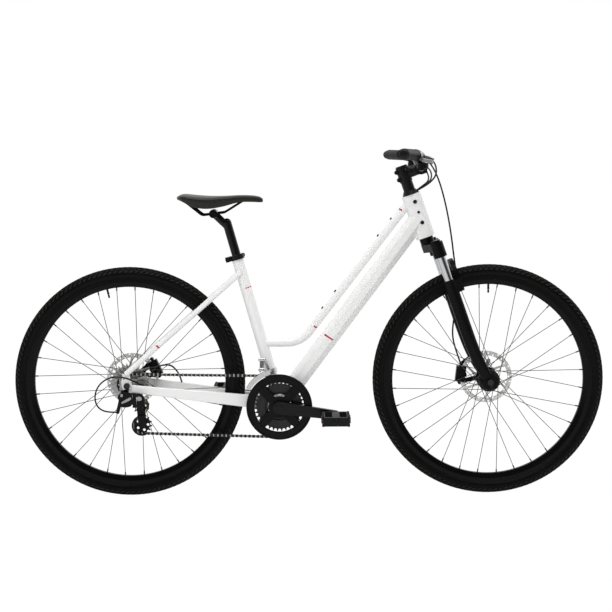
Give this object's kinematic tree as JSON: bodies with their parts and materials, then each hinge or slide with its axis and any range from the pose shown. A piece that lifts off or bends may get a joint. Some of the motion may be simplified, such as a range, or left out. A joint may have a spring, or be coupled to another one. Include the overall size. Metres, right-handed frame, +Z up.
{
  "type": "hybrid bicycle",
  "caption": "Step-through hybrid bicycle with a suspension fork, disc brakes, a triple chainset, derailleur gears and a padded saddle.",
  "frame": {"origin": "on the ground, midway between the two wheel axles", "axes": "+X forward, +Y to the rider's left, +Z up"},
  "size_m": [1.7918, 0.6464, 1.0516],
  "materials": {
    "frame_white": "gloss",
    "fork_black": "satin",
    "stanchion_chrome": "polished",
    "black_alloy": "satin anodised",
    "silver_alloy": "satin",
    "bright_steel": "brushed",
    "spoke_steel": "bright",
    "chain_steel": "oiled",
    "tyre_rubber": "matt",
    "grip_rubber": "matt",
    "cable_jacket": "smooth",
    "saddle_cover": "matt",
    "black_plastic": "matt",
    "bolt_steel": "black oxide"
  },
  "bodies": {
    "frame": {"head_tube": "frame_white", "seat_tube": "frame_white", "down_tube": "frame_white", "top_tube": "frame_white", "rear_stays": "frame_white", "frame_fasteners": "bolt_steel", "frame_bearings": "bright_steel", "seat_collar": "black_alloy", "rear_axle": "black_alloy", "rear_brake_caliper": "black_alloy", "frame_cables": "cable_jacket", "front_derailleur_body": "silver_alloy", "rear_derailleur_body": "black_alloy", "chain": "chain_steel"},
    "steering": {"fork_crown": "fork_black", "stanchions": "stanchion_chrome", "headset_cover": "black_plastic", "stem": "black_alloy", "handlebar": "black_alloy", "grips": "grip_rubber", "bar_controls": "black_plastic", "bar_cables": "cable_jacket", "front_brake_hose": "cable_jacket"},
    "fork_slider": {"fork_lowers": "fork_black", "front_axle": "black_alloy", "front_brake_caliper": "black_alloy"},
    "front_wheel": {"front_tyre": "tyre_rubber", "front_rim": "black_alloy", "front_spokes": "spoke_steel", "front_hub": "black_alloy", "front_rotor": "bright_steel"},
    "rear_wheel": {"rear_tyre": "tyre_rubber", "rear_rim": "black_alloy", "rear_spokes": "spoke_steel", "rear_hub": "black_alloy", "rear_rotor": "bright_steel"},
    "cassette": {"cassette": "bright_steel"},
    "crankset": {"crank_arms": "black_alloy", "chainrings": "bolt_steel", "chain_guard": "black_plastic"},
    "right_pedal": {"right_pedal": "black_plastic"},
    "left_pedal": {"left_pedal": "black_plastic"},
    "seat": {"saddle": "saddle_cover", "saddle_rails": "bolt_steel", "seatpost": "black_alloy"},
    "seat_collar_lever": {"seat_collar_lever": "black_alloy"},
    "front_axle_lever": {"front_axle_lever": "black_alloy"},
    "rear_axle_lever": {"rear_axle_lever": "black_alloy"},
    "left_brake_lever": {"left_brake_lever": "black_alloy"},
    "right_brake_lever": {"right_brake_lever": "black_alloy"},
    "left_shift_paddle": {"left_shift_paddle": "black_plastic"},
    "right_shift_paddle": {"right_shift_paddle": "black_plastic"},
    "front_derailleur_link": {"front_derailleur_link": "silver_alloy"},
    "front_derailleur_cage": {"front_derailleur_cage": "bright_steel"},
    "derailleur_outer_link": {"derailleur_outer_link": "silver_alloy"},
    "derailleur_inner_link": {"derailleur_inner_link": "silver_alloy"},
    "derailleur_knuckle": {"derailleur_knuckle": "black_alloy"},
    "derailleur_cage": {"derailleur_cage": "bolt_steel"},
    "guide_pulley": {"guide_pulley": "black_plastic"},
    "tension_pulley": {"tension_pulley": "black_plastic"}
  },
  "joints": [
    {"name": "steering_turn", "type": "hinge", "parent": "frame", "child": "steering", "pos_m": [0.51096, 0, 0.33928], "axis": [-0.3256, 0, 0.9455], "range_deg": [-60, 60]},
    {"name": "fork_travel", "type": "slide", "parent": "steering", "child": "fork_slider", "axis": [-0.3256, 0, 0.9455], "range_m": [0, 0.06], "stiffness_N_per_m": 9000, "springref_m": -0.02, "deforming": ["front_brake_hose"]},
    {"name": "front_wheel_spin", "type": "hinge", "parent": "fork_slider", "child": "front_wheel", "pos_m": [0.545, 0, 0.351], "axis": [0, 1, 0], "continuous": true},
    {"name": "rear_wheel_spin", "type": "hinge", "parent": "frame", "child": "rear_wheel", "pos_m": [-0.545, 0, 0.351], "axis": [0, 1, 0], "continuous": true},
    {"name": "crank_spin", "type": "hinge", "parent": "frame", "child": "crankset", "pos_m": [-0.0895, 0, 0.28], "axis": [0, 1, 0], "continuous": true, "deforming": ["chain"]},
    {"name": "cassette_spin", "type": "hinge", "parent": "frame", "child": "cassette", "pos_m": [-0.545, 0, 0.351], "axis": [0, 1, 0], "continuous": true, "deforming": ["chain"]},
    {"name": "right_pedal_spin", "type": "hinge", "parent": "crankset", "child": "right_pedal", "pos_m": [0.07893, -0.129, 0.25693], "axis": [0, 1, 0], "continuous": true},
    {"name": "left_pedal_spin", "type": "hinge", "parent": "crankset", "child": "left_pedal", "pos_m": [-0.25793, 0.129, 0.30307], "axis": [0, 1, 0], "continuous": true},
    {"name": "seatpost_slide", "type": "slide", "parent": "frame", "child": "seat", "axis": [-0.2689, 0, 0.9632], "range_m": [-0.08, 0.07]},
    {"name": "seat_collar_lever_swing", "type": "hinge", "parent": "frame", "child": "seat_collar_lever", "pos_m": [-0.24235, 0.02545, 0.72166], "axis": [-0.2689, 0, 0.9632], "range_deg": [0, 100]},
    {"name": "front_axle_lever_swing", "type": "hinge", "parent": "fork_slider", "child": "front_axle_lever", "pos_m": [0.545, 0.0738, 0.351], "axis": [-0.9613, 0, 0.2756], "range_deg": [0, 110]},
    {"name": "rear_axle_lever_swing", "type": "hinge", "parent": "frame", "child": "rear_axle_lever", "pos_m": [-0.545, 0.0873, 0.351], "axis": [-0.6428, 0, 0.766], "range_deg": [0, 110]},
    {"name": "left_brake_pull", "type": "hinge", "parent": "steering", "child": "left_brake_lever", "pos_m": [0.35498, 0.20124, 1.01677], "axis": [0.3295, 0.0933, 0.9395], "range_deg": [0, 14], "stiffness_Nm_per_rad": 1.5, "springref_deg": -5.73},
    {"name": "right_brake_pull", "type": "hinge", "parent": "steering", "child": "right_brake_lever", "pos_m": [0.35498, -0.20124, 1.01677], "axis": [-0.3295, 0.0933, -0.9395], "range_deg": [0, 14], "stiffness_Nm_per_rad": 1.5, "springref_deg": -5.73},
    {"name": "left_shift_push", "type": "hinge", "parent": "steering", "child": "left_shift_paddle", "pos_m": [0.33345, 0.16795, 0.99472], "axis": [0.0061, -0.0179, 0.9998], "range_deg": [0, 30], "stiffness_Nm_per_rad": 0.4, "springref_deg": -5.73},
    {"name": "right_shift_push", "type": "hinge", "parent": "steering", "child": "right_shift_paddle", "pos_m": [0.33345, -0.16795, 0.99472], "axis": [-0.0061, -0.0179, -0.9998], "range_deg": [0, 30], "stiffness_Nm_per_rad": 0.4, "springref_deg": -5.73},
    {"name": "front_gear_link_swing", "type": "hinge", "parent": "frame", "child": "front_derailleur_link", "pos_m": [-0.1415, -0.04314, 0.422], "axis": [1, 0, 0], "range_deg": [0, 21], "deforming": ["chain"]},
    {"name": "front_gear_cage_swing", "type": "hinge", "parent": "front_derailleur_link", "child": "front_derailleur_cage", "pos_m": [-0.1415, -0.0504, 0.39289], "axis": [1, 0, 0], "range_deg": [-21, 0], "deforming": ["chain"]},
    {"name": "rear_gear_outer_swing", "type": "hinge", "parent": "frame", "child": "derailleur_outer_link", "pos_m": [-0.54082, -0.092, 0.31963], "axis": [0.2875, 0.6773, 0.6773], "range_deg": [-18, 32], "deforming": ["chain"]},
    {"name": "rear_gear_inner_swing", "type": "hinge", "parent": "frame", "child": "derailleur_inner_link", "pos_m": [-0.54426, -0.08243, 0.31152], "axis": [0.2875, 0.6773, 0.6773], "range_deg": [-18, 32], "deforming": ["chain"]},
    {"name": "rear_gear_knuckle_swing", "type": "hinge", "parent": "derailleur_outer_link", "child": "derailleur_knuckle", "pos_m": [-0.504, -0.092, 0.304], "axis": [0.2875, 0.6773, 0.6773], "range_deg": [-32, 18], "deforming": ["chain"]},
    {"name": "rear_gear_cage_swing", "type": "hinge", "parent": "derailleur_knuckle", "child": "derailleur_cage", "pos_m": [-0.508, -0.0504, 0.286], "axis": [0, 1, 0], "range_deg": [-35, 15], "stiffness_Nm_per_rad": 0.5, "springref_deg": 17.19, "deforming": ["chain"]},
    {"name": "guide_pulley_spin", "type": "hinge", "parent": "derailleur_cage", "child": "guide_pulley", "pos_m": [-0.508, -0.0504, 0.286], "axis": [0, 1, 0], "continuous": true, "deforming": ["chain"]},
    {"name": "tension_pulley_spin", "type": "hinge", "parent": "derailleur_cage", "child": "tension_pulley", "pos_m": [-0.50324, -0.0504, 0.2282], "axis": [0, 1, 0], "continuous": true, "deforming": ["chain"]}
  ],
  "couplings": [
    {"joint": "cassette_spin", "follows": "crank_spin", "ratio": 3.0667},
    {"joint": "guide_pulley_spin", "follows": "crank_spin", "ratio": -4.1818},
    {"joint": "tension_pulley_spin", "follows": "crank_spin", "ratio": 3.5385},
    {"joint": "front_gear_cage_swing", "follows": "front_gear_link_swing", "ratio": -1},
    {"joint": "rear_gear_inner_swing", "follows": "rear_gear_outer_swing", "ratio": 1},
    {"joint": "rear_gear_knuckle_swing", "follows": "rear_gear_outer_swing", "ratio": -1}
  ]
}
